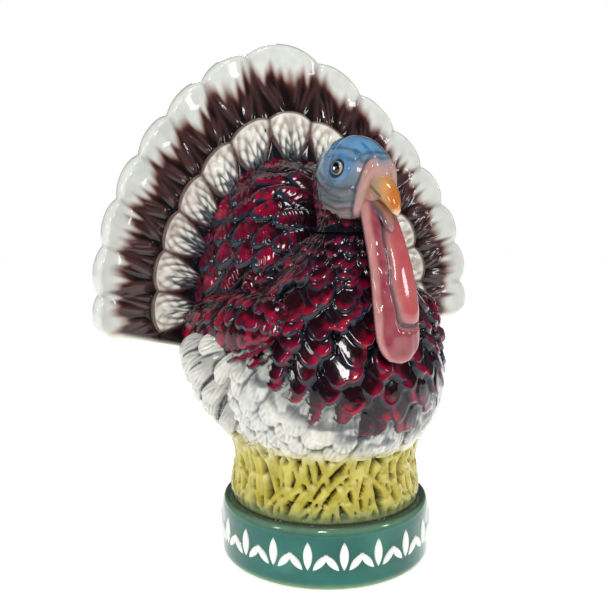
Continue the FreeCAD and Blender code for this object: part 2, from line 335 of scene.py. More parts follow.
def glaze(name, roughness=0.16, coat=1.0, mottle=0.18, bump=0.12, grain=260.0):
    """Clear glaze over hand colouring: the paint, a fine mottle, soft waves and a clear coat."""
    mat, tree, shader = new_material(name)
    paint = new_node(tree, "Attribute")
    paint.attribute_name = "paint"
    where = new_node(tree, "TexCoord").outputs["Object"]
    speck = new_node(tree, "TexNoise", Vector=where, Scale=grain, Detail=3.0)
    spread = new_node(tree, "MapRange", Value=speck.outputs["Fac"], From_Min=0.3, From_Max=0.7,
                      To_Min=1.0 - mottle, To_Max=1.0 + mottle * 0.6)
    tone = new_node(tree, "Mix")
    tone.data_type, tone.blend_type = "RGBA", "MULTIPLY"
    feed(tree, tone, Factor=1.0, A=paint.outputs["Color"], B=spread.outputs["Result"])
    wave = new_node(tree, "TexNoise", Vector=where, Scale=420.0, Detail=2.0)
    soft = new_node(tree, "Bump", Height=wave.outputs["Fac"], Strength=bump, Distance=0.0004)
    feed(tree, shader, Base_Color=tone.outputs["Result"], Normal=soft.outputs["Normal"], Roughness=roughness,
         Specular_IOR_Level=0.15, Coat_Weight=coat, Coat_Roughness=0.03, Coat_IOR=1.38)
    return mat


FEATHER_GLAZE = glaze("feather_glaze", coat=0.8)
PALE_GLAZE = glaze("pale_glaze", roughness=0.2, mottle=0.07)
SMOOTH_GLAZE = glaze("smooth_glaze", roughness=0.12, mottle=0.1, bump=0.05)
EYE_GLAZE = glaze("eye_glaze", roughness=0.06, mottle=0.0, bump=0.0)
BISQUE = glaze("bisque", roughness=0.7, coat=0.0, mottle=0.12, bump=0.3, grain=900.0)
CORK = glaze("cork", roughness=0.85, coat=0.0, mottle=0.55, bump=0.8, grain=700.0)


def finish(obj, material, body, slot, *nodes):
    """Gives a piece its material and body, and hides the CAD nodes that it stands for. The slot argument is
    not used.
    """
    obj.data.materials.clear()
    obj.data.materials.append(material)
    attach(obj, body)
    if nodes:
        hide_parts(*nodes)


def finish_pair(left, material, body, slot, node):
    """Finishes a piece of the left side, and its mirror image."""
    right = mirrored(left, left.name.replace("left", "right"))
    finish(left, material, body, slot, node)
    finish(right, material, body, slot, node.replace("left", "right"))


# ------------------------------------------------------------------ colours
RED = srgb(162, 4, 40)
CRIMSON = srgb(124, 8, 46)
MAROON = srgb(78, 5, 28)
SLATE = srgb(26, 40, 54)
BLACK = srgb(12, 5, 10)
INK = srgb(8, 12, 20)
CREAM = srgb(226, 222, 208)
ASH = srgb(150, 150, 146)
SMOKE = srgb(92, 94, 98)
PALE = srgb(206, 208, 202)
BROWN = srgb(118, 76, 66)
UMBER = srgb(52, 26, 23)
SOOT = srgb(18, 10, 11)


def maroon_paint(skin, red=0.5, outline=0.22, root_shadow_shift=0.0):
    """Deep red feathers with blue-black outlines and barb strokes; the black over each root is a painted
    shadow of the feather above, and the ink in the hollows is painted shade.
    """
    p = skin.base
    patch = 0.6 * noise(p, 6.0, 1) + 0.4 * noise(p, 2.6, 2)
    glow = patch + 0.5 * (skin.tint - 0.5) + 0.5 * (red - 0.5)
    strokes_on = step(0.42, 0.62, noise(p, 4.0, 3) + 0.25 * (skin.tint - 0.5))
    ragged = skin.inside + 0.24 * (noise(p, 2.0, 5) - 0.5)
    return coats(MAROON, [
        (CRIMSON, step(0.12, 0.45, glow)),
        (RED, step(0.40, 0.80, glow)),
        (SLATE, 0.95 * step(0.15, 0.6, skin.groove) * strokes_on),
        # painted shadow: black over each feather's root, where the feather above shades it
        (BLACK, 0.95 * step(0.78, 0.42, skin.along - root_shadow_shift + 0.40 * (noise(p, 2.6, 6) - 0.5))),
        (SLATE, step(outline, outline * 0.45, ragged)),
        # painted shade: ink in the hollows between feathers
        (INK, step(0.10, 0.50, skin.cavity(3.0)))])


def cream_paint(skin, grey=0.5):
    """Cream feathers, grey in the grooves, with painted shade towards their roots and in the hollows."""
    p = skin.base
    colour = mix(CREAM, PALE, noise(p, 9.0, 4)) * (0.86 + 0.14 * noise(p, 6.0, 9))[..., None]
    # painted shade: ash grey towards each feather's root, under the feather that overlaps it; grey sets how
    # strong it is
    shade = step(0.85, 0.35, skin.along + 0.3 * (noise(p, 3.5, 10) - 0.5))
    return coats(colour, [
        (ASH, 0.8 * grey * shade),
        (SMOKE, 0.55 * skin.groove),
        # painted shade: darker grey in the hollows
        (srgb(62, 64, 68), step(0.06, 0.5, skin.cavity(3.5)) * (0.4 + 0.5 * grey))])


# ------------------------------------------------------------------ plinth
PLINTH_R = 50.0
PLINTH_TOP_R = 47.5


def build_plinth():
    def paint(grid):
        z = grid[..., 2]
        colour = coats(srgb(2, 80, 74), [
            (srgb(14, 104, 90), noise(grid, 16.0, 5)),
            (srgb(60, 128, 112), 0.5 * step(0.55, 0.9, noise(grid, 11.0, 6))),
            (srgb(120, 150, 104), step(4.0, 0.6, z)),
            (srgb(96, 128, 104), step(23.5, 27.0, z)),
            (srgb(34, 30, 26), step(27.0, 28.2, z))])
        under = (np.hypot(grid[..., 0], grid[..., 1]) < 46.5) & (z < 1.7)
        return np.where(under[..., None], srgb(206, 198, 180), colour)

    shoulder = [(PLINTH_TOP_R + 2.5 * math.cos(a), 22.5 + 5.5 * math.sin(a)) for a in np.linspace(0, 1.45, 6)]
    outline = [(0.1, 1.5), (39.5, 1.5), (40.5, 0.0), (47.6, 0.0), (49.4, 0.8), (PLINTH_R, 2.6)]
    outline += shoulder + [(46.0, 27.6), (44.0, 27.4), (43.0, 27.4)]
    obj = lathe("plinth_glazed", outline, 320, paint, detail=0.9)
    finish(obj, SMOOTH_GLAZE, "decanter", "teal_glaze", "plinth")


def build_frieze():
    """Sprigs of three puffed leaves, in raised white, round the plinth."""
    repeats, low, tall = 20, 9.5, 12.5
    leaves = [(0.0, 0.0, tall, 4.4), (-2.2, -42.0, 0.78 * tall, 3.6), (2.2, 42.0, 0.78 * tall, 3.6)]
    rows, cols = 17, 9
    s, t = np.meshgrid(np.linspace(0, 1, rows), np.linspace(-1, 1, cols), indexing="ij")
    plump = 1.35 * np.sqrt(clamp(1.0 - np.abs(t) ** 2.6)) * np.sin(math.pi * clamp(s, 0.02, 0.98)) ** 0.4
    puff = plump - 0.35 * bell(t, 0.16) * step(0.1, 0.3, s) - 0.3
    white = mix(srgb(236, 238, 232), srgb(150, 176, 168), 0.8 * step(0.5, 0.0, puff)).reshape(-1, 3)
    r = PLINTH_R + np.minimum(puff, 1.15)
    points, faces = [], []
    for k in range(repeats):
        for offset, tilt, length, width in leaves:
            half = 0.5 * width * np.sin(math.pi * clamp(s, 0.004, 0.996)) ** 0.75
            c, d = math.cos(math.radians(tilt)), math.sin(math.radians(tilt))
            turn = 2.0 * math.pi * k / repeats + (offset + s * length * d + t * half * c) / PLINTH_R
            z = low + s * length * c - t * half * d
            faces.append(grid_faces(rows, cols, True, False) + len(points) * rows * cols)
            points.append(xyz(r * np.sin(turn), -r * np.cos(turn), z).reshape(-1, 3))
    paint = np.tile(white, (len(points), 1))
    obj = make_object("leaf_band", np.concatenate(points), np.concatenate(faces), paint)
    finish(obj, PALE_GLAZE, "decanter", "white_relief", "plinth_frieze")


# ------------------------------------------------------------------ grass
def build_grass():
    radius = profile([27.0, 30.0, 36.0, 44.0, 50.0, 58.0, 61.0],
                     [44.6, 44.2, 42.6, 41.3, 41.4, 43.2, 44.0], 2.0)

    def surface(u, v):
        r = radius(u)
        return xyz(r * np.cos(v), r * np.sin(v), u)

    skin = Skin(surface, np.arange(27.2, 61.5, 0.62), full_turn(430), (0, 0, 44), wrap=True)
    rows = [(52.0, 17.0, 66), (45.0, 19.0, 60), (37.5, 17.0, 60), (32.0, 11.0, 66)]   # height, length, count
    for row, (z, length, count) in enumerate(rows):
        for k in range(count):
            turn = 2.0 * math.pi * (k + 0.5 * (row % 2) + 0.7 * rng.random()) / count
            lean = rng.normal(0.0, 0.34) + 0.35 * math.sin(3.0 * turn + row)
            flow = (-math.sin(turn) * lean, math.cos(turn) * lean, 1.0)
            skin.feather(z + rng.normal(0, 1.6), turn, flow, length * rng.uniform(0.8, 1.15),
                         rng.uniform(1.3, 2.3), lift=1.1 + 0.3 * rng.random(), crown=0.95, barb=0.0,
                         bend=rng.normal(0.0, 2.6), shaft=0.12)
    skin.height += 0.5
    skin.level(step(32.5, 27.5, skin.u), 0.2)
    colour = coats(srgb(176, 160, 44), [
        (srgb(206, 192, 92), noise(skin.base, 4.0, 8)),
        (srgb(150, 140, 30), 0.6 * skin.tint),
        (srgb(226, 218, 150), 0.6 * step(0.72, 1.0, skin.along) * skin.tint),
        # painted shade: dark brown in the hollows between blades
        (srgb(52, 40, 16), step(0.08, 0.75, skin.cavity(3.0))),
        (srgb(120, 140, 96), 0.8 * step(35.0, 29.0, skin.u)),
        (srgb(40, 38, 32), step(29.0, 27.4, skin.u)),
        (srgb(212, 206, 168), 0.5 * step(53.0, 59.0, skin.u))])
    finish(skin.mesh("grass_blades", colour), FEATHER_GLAZE, "decanter", "grass_glaze", "grass_collar")


# ------------------------------------------------------------------ body
BODY_Z = [54.0, 58.0, 62.0, 68.0, 78.0, 90.0, 100.0, 112.0, 122.0, 132.0, 140.0, 148.0, 154.0]
body_front = profile(BODY_Z, [-42.0, -45.5, -50.0, -55.0, -59.0, -59.5, -57.0, -53.0, -50.0, -47.5,
                              -45.8, -43.8, -41.5])
body_back = profile(BODY_Z, [41.5, 43.0, 44.5, 46.0, 46.5, 46.5, 46.5, 46.0, 42.0, 30.0, 14.0, 0.0, -10.5])
body_half = profile(BODY_Z, [40.8, 41.3, 42.8, 45.4, 49.7, 51.7, 51.6, 49.6, 41.5, 33.5, 26.5, 20.0, 16.0])


def body_surface(u, v):
    front, back, half = body_front(u), body_back(u), body_half(u)
    middle = (front + back) / 2.0
    return xyz(half * np.cos(v), middle + (back - front) / 2.0 * np.sin(v), u + 0.0 * v)


def belly_line(p):
    """Height under which the body is cream: low in front, higher at the sides."""
    off_front = np.degrees(np.abs(np.arctan2(p[..., 0], -p[..., 1])))
    return np.interp(off_front, [0, 20, 30, 38, 46, 54, 62, 73, 90, 180],
                     [68, 71, 75, 80, 84, 89, 96, 102, 104, 104])


def build_body():
    """Breast, belly and neck: rows of scale feathers that turn in towards the middle."""
    skin = Skin(body_surface, np.arange(54.0, 154.2, 0.58), full_turn(540), (0, 0, 95), wrap=True)
    start, row = 152.5, 0
    while start > -20.0:
        size = float(np.interp(start, [58, 80, 95, 112, 130, 154], [7.0, 7.6, 8.6, 8.2, 6.2, 4.4]))
        half_width = float(np.interp(start, [110, 135], [0.80, 0.68])) * size
        slope = 0.78 * float(step(146.0, 108.0, start))
        for k in range(60):
            away = 1.5 * half_width * (k + 0.5 * (row % 2) + rng.normal(0, 0.09))
            z = start + slope * min(away, 62.0) + rng.normal(0, 0.14 * size)
            if away > 3.25 * float(body_half(z)) or z > 154.0:
                break
            if z < 57.0:
                continue
            for side in (-1, 1):
                if side < 0 and k == 0 and row % 2 == 0:
                    continue
                turn = -math.pi / 2.0 + side * away / float(body_half(z))
                here = body_surface(np.array([z]), np.array([turn]))[0]
                off = abs(math.cos(turn)) ** 0.6
                if z - 4.0 < float(belly_line(here)):
                    flow = (0.0, 1.0 * off + rng.normal(0, 0.08), -0.8)
                    skin.feather(z, turn, flow, 24.0, rng.uniform(5.4, 6.4), lift=3.2, crown=0.6, barb=0.50,
                                 pitch=2.1, slant=1.35, bend=1.2 * side, rim=0.4, nose=1.3, kind=1.0)
                else:
                    lean = slope * float(step(70.0, 30.0, away)) + rng.normal(0, 0.12)
                    flow = (-lean * side * abs(math.sin(turn)), -lean * off, -1.0)
                    skin.feather(z, turn, flow, 1.85 * size, half_width * rng.uniform(0.85, 1.15),
                                 lift=rng.uniform(0.27, 0.40) * size, crown=0.05 * size, barb=0.08, pitch=2.6,
                                 slant=0.6, rim=0.09 * size, bend=-side * rng.uniform(0.0, 2.6), nose=1.15)
        start -= size
        row += 1
    skin.height -= 1.2
    skin.soften(1.0)
    skin.level(step(57.5, 54.5, skin.u), -0.6)
    skin.height = np.where(skin.u > 151.8, np.minimum(skin.height, -0.4), skin.height)
    border = belly_line(skin.base) + 4.0 * (noise(skin.base, 5.0, 12) - 0.5)
    pale = np.maximum(skin.kind, step(-7.0, -12.0, skin.u - border))
    colour = mix(maroon_paint(skin, 0.34, 0.15, 0.16), cream_paint(skin, 1.0), pale)
    murk = bell(skin.u - border, 5.0) * step(0.40, 0.62, noise(skin.base, 3.0, 13)) * pale
    colour = coats(colour, [
        (SLATE, 0.8 * murk),
        (srgb(208, 200, 128), 0.55 * step(64.0, 57.0, skin.u)),
        # painted shadow: the top of the neck darkens to ink under the overhanging head
        (INK, 0.9 * step(149.0, 152.6, skin.u + 2.4 * (noise(skin.base, 2.2, 14) - 0.5)))])
    body = skin.mesh("breast_and_neck", colour)
    finish(body, FEATHER_GLAZE, "decanter", "maroon_glaze", "body_shell", "neck")


def rim_paint(grid):
    """Bare clay within 12 mm of the bore's axis, glazed dark outside that."""
    clay = mix(srgb(222, 214, 196), srgb(196, 186, 166), noise(grid, 3.0, 9))
    return mix(clay, INK, step(11.5, 12.5, np.hypot(grid[..., 0], grid[..., 1])))


def build_neck_rim():
    """Unglazed rim and bore that the cork goes into."""
    outline = [(14.6, 151.0), (15.2, 153.2), (14.6, 154.0), (10.6, 154.0), (9.5, 153.2), (9.5, 127.0)]
    finish(lathe("neck_rim", outline, 96, rim_paint, y=-26.0), BISQUE, "decanter", "cream_glaze")


# ------------------------------------------------------------------ raised back
HUMP_C = np.array([0.0, 46.5, 115.0])
HUMP_S = np.array([55.0, 61.0, 75.0])


def hump_surface(u, v):
    """u runs from the middle of the back (0) out to the fan (pi/2), v round from the top."""
    return HUMP_C + HUMP_S * xyz(np.sin(u) * np.sin(v), -np.cos(u), np.sin(u) * np.cos(v))


def build_hump():
    """The raised back: leaf feathers that part along the middle and sweep down and back."""
    skin = Skin(hump_surface, np.linspace(0.3, 1.56, 160), np.linspace(-1.86, 1.86, 440), HUMP_C)
    reach, sweep = 64.0, math.radians(33.0)
    along_step, across_step = 16.0, 8.4
    c, s = math.cos(sweep), math.sin(sweep)
    for side in (-1, 1):
        for i in range(-3, 20):
            for j in range(-16, 14):
                ahead, over = i * along_step, (j + 0.5 * (i % 2)) * across_step
                off_middle = ahead * c - over * s + rng.normal(0, 0.5)
                u = 0.9 + (ahead * s + over * c + rng.normal(0, 0.4)) / reach
                v = side * (off_middle + 3.0) / (reach * math.sin(max(u, 0.3)))
                if not (0.35 < u < 1.56 and 0.05 <= side * v < 1.9):
                    continue
                here = hump_surface(np.array([u, u, u + 0.02]), np.array([v, v + side * 0.02, v]))
                out = s + 1.2 * float(step(0.35, 0.0, side * v))
                flow = c * unit(here[1] - here[0]) + out * unit(here[2] - here[0])
                skin.feather(u, v, flow, 31.0, rng.uniform(5.6, 6.8), lift=3.1, crown=0.8, pitch=3.0,
                             slant=0.35, barb=0.15 + 0.40 * min(1.6 * side * v, 1.0), rim=0.3, nose=2.2,
                             drop=0.8, bend=side * rng.uniform(3.0, 6.0) * min(4.0 * side * v, 1.0))
    skin.height -= 2.0
    skin.soften()
    skin.level(step(1.49, 1.555, skin.u), 0.0)
    colour = mix(maroon_paint(skin, 0.16, 0.26, 0.05), SLATE, 0.9 * step(1.45, 1.53, skin.u))
    finish(skin.mesh("back_feathers", colour), FEATHER_GLAZE, "decanter", "maroon_glaze", "back_hump")


# ------------------------------------------------------------------ wings
WING_C = np.array([43.0, 4.0, 109.5])
WING_S = np.array([15.0, 39.0, 16.5])


def hug(p, reach):
    """Moves points near or inside the body out to a soft fillet round it."""
    middle = (body_front(p[..., 2]) + body_back(p[..., 2])) / 2.0
    deep, half = body_back(p[..., 2]) - middle, body_half(p[..., 2])
    r = np.maximum(np.hypot(p[..., 0] / half, (p[..., 1] - middle) / deep), 0.05)
    size = np.sqrt(half * deep)
    off = reach * np.logaddexp(0.0, (r - 1.0) * size / reach)
    grow = (1.0 + off / size) / r
    return xyz(p[..., 0] * grow, middle + (p[..., 1] - middle) * grow, p[..., 2])


def wing_surface(u, v):
    """u runs from the shoulder (0) to the tip (pi), v round the wing from its top."""
    p = WING_S * xyz(np.sin(u) * np.sin(v), -np.cos(u), np.sin(u) * np.cos(v))
    dip, splay = math.radians(-9.0), math.radians(-16.0)
    y = p[..., 1] * math.cos(dip) - p[..., 2] * math.sin(dip)
    z = p[..., 1] * math.sin(dip) + p[..., 2] * math.cos(dip)
    x = p[..., 0] * math.cos(splay) - y * math.sin(splay)
    y = p[..., 0] * math.sin(splay) + y * math.cos(splay)
    return hug(WING_C + xyz(x, y, z), 3.0)


def build_wings():
    """Closed wing: hanging coverts on the shoulder that turn into long streaks at the tip."""
    skin = Skin(wing_surface, np.linspace(0.10, 3.04, 200), np.linspace(-0.45, 3.5, 150), WING_C)
    rows = [(-0.05, 12.0, 3.0), (0.42, 14.5, 3.4), (0.90, 18.5, 3.9), (1.42, 23.0, 4.3), (1.95, 24.0, 4.4)]
    for row, (v, length, half_width) in enumerate(rows):
        u = 0.25 + 0.05 * (row % 2)
        while u < 2.95:
            far = float(step(1.0, 2.2, u))
            turn = math.radians(8.0 + 62.0 * far + rng.normal(0, 5.0))
            skin.feather(u, v + rng.normal(0, 0.04), (0.05, math.sin(turn), -math.cos(turn)),
                         length + (30.0 - length) * far,
                         half_width * (1.0 - 0.12 * far) * rng.uniform(0.9, 1.1), lift=2.0 + 0.5 * far,
                         crown=0.7, barb=0.10 + 0.32 * far, pitch=2.4, slant=1.0 + 0.35 * far, rim=0.3,
                         nose=1.3 + 0.6 * far, bend=rng.normal(0, 0.6))
            u += 1.55 * half_width * (1.0 + 0.5 * far) / 40.0
    skin.height -= 1.4 + 1.8 * step(0.5, 0.15, skin.u) + 5.0 * step(2.1, 2.9, skin.v)
    skin.soften()
    wing = skin.mesh("wing_left", maroon_paint(skin, 0.34, 0.22, 0.14))
    finish_pair(wing, FEATHER_GLAZE, "decanter", "maroon_glaze", "left_wing")


FLANK_Z = [55.0, 59.0, 66.6, 75.0, 83.0, 92.0, 98.5, 108.0, 115.0, 120.0]
flank_out = profile(FLANK_Z, [3.5, 8.0, 14.5, 20.0, 24.3, 27.3, 27.5, 22.5, 13.0, 4.0], 1.5)
flank_deep = profile(FLANK_Z, [8.0, 13.0, 21.0, 27.0, 30.0, 31.0, 31.0, 28.0, 20.0, 8.0], 1.5)


def flank_surface(u, v):
    """u is the height, v runs round from the front."""
    return xyz(38.5 + flank_out(u) * np.sin(v), 14.0 - flank_deep(u) * np.cos(v), u + 0.0 * v)


def build_quills():
    """Cream quills under the wing, in overlapping rows that sweep back and down."""
    skin = Skin(flank_surface, np.arange(55.0, 120.0, 0.42), np.linspace(-0.4, 3.4, 210), (38.5, 14.0, 92.0))
    for i in range(-4, 6):
        for j in range(-12, 13):
            drop = 6.6 * (j + 0.5 * (i % 2))
            y = 13.0 * i + 0.80 * drop + rng.normal(0, 0.7)
            z = 90.0 + drop - 0.40 * 13.0 * i
            if not 56.0 < z < 119.0 or abs(y) > 1.3 * float(flank_deep(z)):
                continue
            v = math.acos(min(max(-y / float(flank_deep(z)), -0.98), 0.98))
            flow = (0.0, 1.0, -0.50 - 0.25 * step(95.0, 65.0, z) + rng.normal(0, 0.05))
            skin.feather(z, v, flow, 27.0, rng.uniform(3.6, 5.2), lift=2.6, crown=0.35, barb=0.50, pitch=1.9,
                         slant=1.40, rim=0.5, bend=rng.normal(2.0, 1.2), nose=0.9)
    skin.height -= 1.7
    skin.soften()
    z = skin.base[..., 2]
    colour = coats(0.92 * cream_paint(skin, 1.0), [
        (SLATE, 0.8 * step(107.0, 114.0, z + 4.0 * noise(skin.base, 4.0, 16))),
        (srgb(214, 206, 150), 0.5 * step(66.0, 57.0, z))])
    finish_pair(skin.mesh("quills_left", colour), PALE_GLAZE, "decanter", "cream_glaze", "left_quills")


# ------------------------------------------------------------------ tail fan
HUB_Z = 115.0
FAN_AXIS_Y = -197.0
FAN_FRONT_R = 244.0
FAN_DEEP = 8.0
FAN_HALF, FAN_STEP = 9.3, 12.55       # degrees: half the centre feather, one side feather
FAN_SIDE = 7                          # long feathers on each side of the centre one
FAN_END = FAN_HALF + FAN_SIDE * FAN_STEP
SHORT_HALF, SHORT_STEP = 7.2, 15.0
SHORT_END = SHORT_HALF + 6 * SHORT_STEP
SHORT_SCALE = 0.74
SHORT_PROUD = 8.0                     # the short row stands this far ahead of the long feathers


def notch_reach(turn):
    return 97.0 + 33.5 / (1.0 + (turn / 32.5) ** 2)


def feather_place(turn, half, pitch):
    """Feather number, from the centre outwards, and place across it from -1 to 1."""
    a = np.abs(turn)
    number = np.where(a < half, 0, np.floor((a - half) / pitch) + 1).astype(int)
    number = np.minimum(number, FAN_SIDE)
    centre = np.where(number == 0, 0.0, half + (number - 0.5) * pitch)
    wide = np.where(number == 0, half, pitch / 2.0)
    local = np.where(number == 0, turn / wide, np.sign(turn) * (a - centre) / wide)
    return number * np.sign(turn).astype(int), np.clip(local, -1.6, 1.6)


def strokes(x, z, lines, width):
    """Sum of soft lines: each is (x0, z0, x1, z1, amount), fading at both ends."""
    total = np.zeros_like(x)
    for x0, z0, x1, z1, amount in lines:
        dx, dz = x1 - x0, z1 - z0
        length = math.hypot(dx, dz)
        near = np.abs(x - (x0 + x1) / 2) < abs(dx) / 2 + 3 * width
        near &= np.abs(z - (z0 + z1) / 2) < abs(dz) / 2 + 3 * width
        s = ((x[near] - x0) * dx + (z[near] - z0) * dz) / length ** 2
        d = ((x[near] - x0) * dz - (z[near] - z0) * dx) / length
        taper = clamp(1.0 - (2.0 * np.abs(s - 0.5)) ** 3)
        total[near] += amount * bell(d, width * (0.45 + 0.55 * taper)) * taper * (np.abs(s - 0.5) < 0.5)
    return total


def fan_lines(low, high, count, spread):
    """Barb strokes that climb from each shaft to the edges, between two shares of a feather's reach."""
    lines = []
    for number in range(-FAN_SIDE, FAN_SIDE + 1):
        centre = 0.0 if number == 0 else math.copysign(FAN_HALF + (abs(number) - 0.5) * FAN_STEP, number)
        wide = FAN_HALF if number == 0 else FAN_STEP / 2.0
        reach = float(notch_reach(centre))
        for side in (-1, 1):
            for k in range(count):
                at = (k + rng.uniform(0.1, 0.9)) / count
                t0 = math.radians(centre + side * wide * clamp(0.10 + spread * at, 0, 0.9))
                t1 = math.radians(centre + side * wide * clamp(0.30 + 0.75 * at, 0, 0.97))
                r0 = reach * (low + 0.35 * (high - low) * (1 - at) * rng.random())
                r1 = reach * (low + (high - low) * (0.62 + 0.38 * rng.random()))
                lines.append((r0 * math.sin(t0), HUB_Z + r0 * math.cos(t0), r1 * math.sin(t1),
                              HUB_Z + r1 * math.cos(t1), rng.uniform(0.5, 1.0)))
    return lines


def fan_relief(x, z, lines, behind):
    """Height and colour of the long tail feathers."""
    turn = np.degrees(np.arctan2(x, z - HUB_Z))
    reach = np.hypot(x, z - HUB_Z)
    outer = notch_reach(turn)
    number, local = feather_place(turn, FAN_HALF, FAN_STEP)
    climb = (reach / outer - SHORT_SCALE) / (1.0 - SHORT_SCALE)
    height = 1.5 * (1.0 - local ** 2) * step(0.1, 0.8, climb)
    border = bell(1.0 - np.abs(local), 0.12)
    height = height - 0.8 * border * step(0.65, 1.0, climb) + 0.5 * border * step(0.9, 0.6, climb)
    marks = strokes(x, z, lines, 0.75)
    height = height + 0.60 * marks
    if not behind:
        height = height + (SHORT_PROUD - 1.8) * step(0.8, 0.0, climb)
    p = xyz(x, z, 0 * x)
    streak = noise(xyz(turn * 1.6, reach * 0.08, 0 * x), 2.0, 21) - 0.5
    tone = climb + 0.34 * streak - 0.14 * (np.abs(local) - 0.5) - 0.02 * marks
    ridge = clamp(0.8 * marks + 0.7 * border) * step(0.66, 0.50, tone)
    colour = coats(UMBER if behind else SOOT, [
        (UMBER, step(0.38, 0.56, tone)),
        (BROWN, step(0.50, 0.66, tone)),
        (PALE, step(0.54, 0.80, tone)),
        (srgb(92, 62, 62), 0.50 * ridge),
        (srgb(176, 166, 152), 0.35 * clamp(marks) * step(0.6, 0.8, tone)),
        (ASH, 0.4 * border * step(0.65, 0.9, climb))])
    colour = colour * (0.94 + 0.12 * noise(p, 5.0, 22))[..., None]
    return height, colour


def fan_edge(turn):
    """Reach of the scalloped outline, rounded at the two lower corners."""
    number, local = feather_place(turn, FAN_HALF, FAN_STEP)
    bulge = np.where(number == 0, 4.0, 3.0)
    outline = notch_reach(turn) + bulge * (1.0 - clamp(np.abs(local)) ** 2.4)
    return outline - 5.0 * step(FAN_END - 6.0, FAN_END + 1.0, np.abs(turn)) ** 1.5


def root_turn(reach):
    """Angle from upright, in degrees, of the fan's straight lower edge at a given reach."""
    return np.degrees(np.arccos(np.clip(-33.7 / reach, -1.0, 1.0))) - 13.8


def build_fan():
    """One cupped casting: relief in front, a rolled rim, and relief behind."""
    side = np.linspace(-1.0, 1.0, 470)[None, :]
    rim, blades, root = np.linspace(0.0, 0.03, 7), np.linspace(0.037, 0.42, 80), np.linspace(0.45, 0.8, 20)
    shares = 1.0 - np.concatenate([rim, blades, root])
    front_lines = fan_lines(SHORT_SCALE, 0.93, 7, 0.35)
    back_lines = fan_lines(0.34, 0.66, 6, 0.5) + fan_lines(0.62, 0.93, 6, 0.4)

    def sheet(share, behind):
        share = share[:, None]
        turn = side * FAN_END
        for _ in range(3):
            edge = fan_edge(np.clip(turn, -FAN_END, FAN_END))
            reach = share * edge
            widest = root_turn(np.maximum(reach, 36.0))
            turn = side * widest
        edge = fan_edge(np.clip(turn, -FAN_END, FAN_END))
        x, z = reach * np.sin(np.radians(turn)), HUB_Z + reach * np.cos(np.radians(turn))
        height, colour = fan_relief(x, z, back_lines if behind else front_lines, behind)
        to_root = (1.0 - np.abs(side)) * np.radians(widest) * reach
        to_edge = np.minimum((1.0 - share) * edge, to_root)
        fall = 1.0 - np.sqrt(clamp(1.0 - (1.0 - clamp(to_edge / 3.6)) ** 2))
        height = height * step(0.0, 3.0, to_edge) - (FAN_DEEP / 2.0) * fall
        radius = FAN_FRONT_R + FAN_DEEP + height if behind else FAN_FRONT_R - height
        y = FAN_AXIS_Y + np.sqrt(radius ** 2 - x ** 2)
        colour = mix(colour, PALE, step(2.5, 0.0, to_edge))
        return xyz(x, y, z), mix(colour, CREAM, step(5.0, 1.5, to_root))

    front, front_paint = sheet(shares[::-1], False)
    back, back_paint = sheet(shares, True)
    paint = np.concatenate([front_paint, back_paint[1:]])
    obj = grid_object("tail_feathers", np.concatenate([front, back[1:]]), paint, True)
    finish(obj, PALE_GLAZE, "decanter", "brown_glaze", "tail_fan")


def build_coverts():
    """The short cream row: leaf petals with a thin dark rim, deep crinkles and dark gaps."""
    share = np.concatenate([np.linspace(1.0, 0.965, 10), np.linspace(0.959, 0.55, 66)])
    share, turn = np.meshgrid(share, np.linspace(-SHORT_END, SHORT_END, 640), indexing="ij")
    number, local = feather_place(turn, SHORT_HALF, SHORT_STEP)
    local = clamp(local, -1.0, 1.0)
    edge = SHORT_SCALE * notch_reach(turn) + 2.8 * (1.0 - np.abs(local) ** 2.6)
    x, z = share * edge * np.sin(np.radians(turn)), HUB_Z + share * edge * np.cos(np.radians(turn))
    inward = (1.0 - share) * edge
    p = xyz(x, z, 0.0)
    across = local / np.clip(1.0 - 0.80 * step(4.0, 34.0, inward), 0.2, 1.0)   # the petal narrows to its root
    off = np.abs(across)
    outline = bell(off - 1.0, 0.12)
    body, deep = step(1.04, 0.82, off), step(1.6, 4.5, inward)
    wobble = 0.5 * (noise(p, 7.0, 34) - 0.5) + 0.23 * number
    fold = 2.1 * across - 0.10 * inward * np.sign(across) * step(0.0, 0.3, off) + wobble
    crinkle = np.abs(np.cos(math.pi * fold)) ** 2.4
    cross = np.abs(np.cos(math.pi * (0.15 * inward + 1.6 * off + 0.31 * number + wobble))) ** 5
    height = body * (1.7 * (1.0 - 0.55 * across ** 2) - 1.25 * crinkle * deep - 0.5 * cross * deep)
    height += 0.7 * bell(inward - 0.9, 0.6) + 0.75 * bell(off - 1.0, 0.10) * step(30.0, 20.0, inward)
    height += SHORT_PROUD - 1.2 + 2.0 * step(4.0, 26.0, inward)
    height = height * step(-0.3, 0.9, inward)
    y = FAN_AXIS_Y + np.sqrt((FAN_FRONT_R - height) ** 2 - x ** 2)
    groove = clamp(crinkle ** 2.6 + 0.45 * cross) * body * deep
    near_rim = step(12.0, 5.0, inward)
    smoke = inward + 9.0 * (noise(p, 4.0, 33) - 0.5) + 5.0 * groove
    rim = np.maximum(step(2.1, 1.3, inward), outline * step(26.0, 14.0, inward))
    colour = coats(mix(CREAM, srgb(238, 234, 224), noise(p, 6.0, 31)), [
        (srgb(150, 108, 90), 0.55 * groove * near_rim),
        (SMOKE, 0.85 * groove * (1.0 - near_rim)),
        (SMOKE, step(15.0, 20.0, smoke)),
        (INK, 0.85 * step(20.0, 27.0, smoke)),
        (srgb(14, 18, 26), (1.0 - body) * step(3.0, 7.0, inward)),
        (srgb(84, 52, 50), 0.92 * rim)])
    obj = grid_object("short_tail_feathers", xyz(x, y, z), colour, False)
    finish(obj, PALE_GLAZE, "decanter", "cream_glaze", "tail_coverts")


RUMP_C = np.array([0.0, 49.0, 106.0])
RUMP_S = np.array([42.0, 15.5, 37.0])


def rump_surface(u, v):
    return RUMP_C + RUMP_S * xyz(np.sin(u) * np.sin(v), np.cos(u), np.sin(u) * np.cos(v))


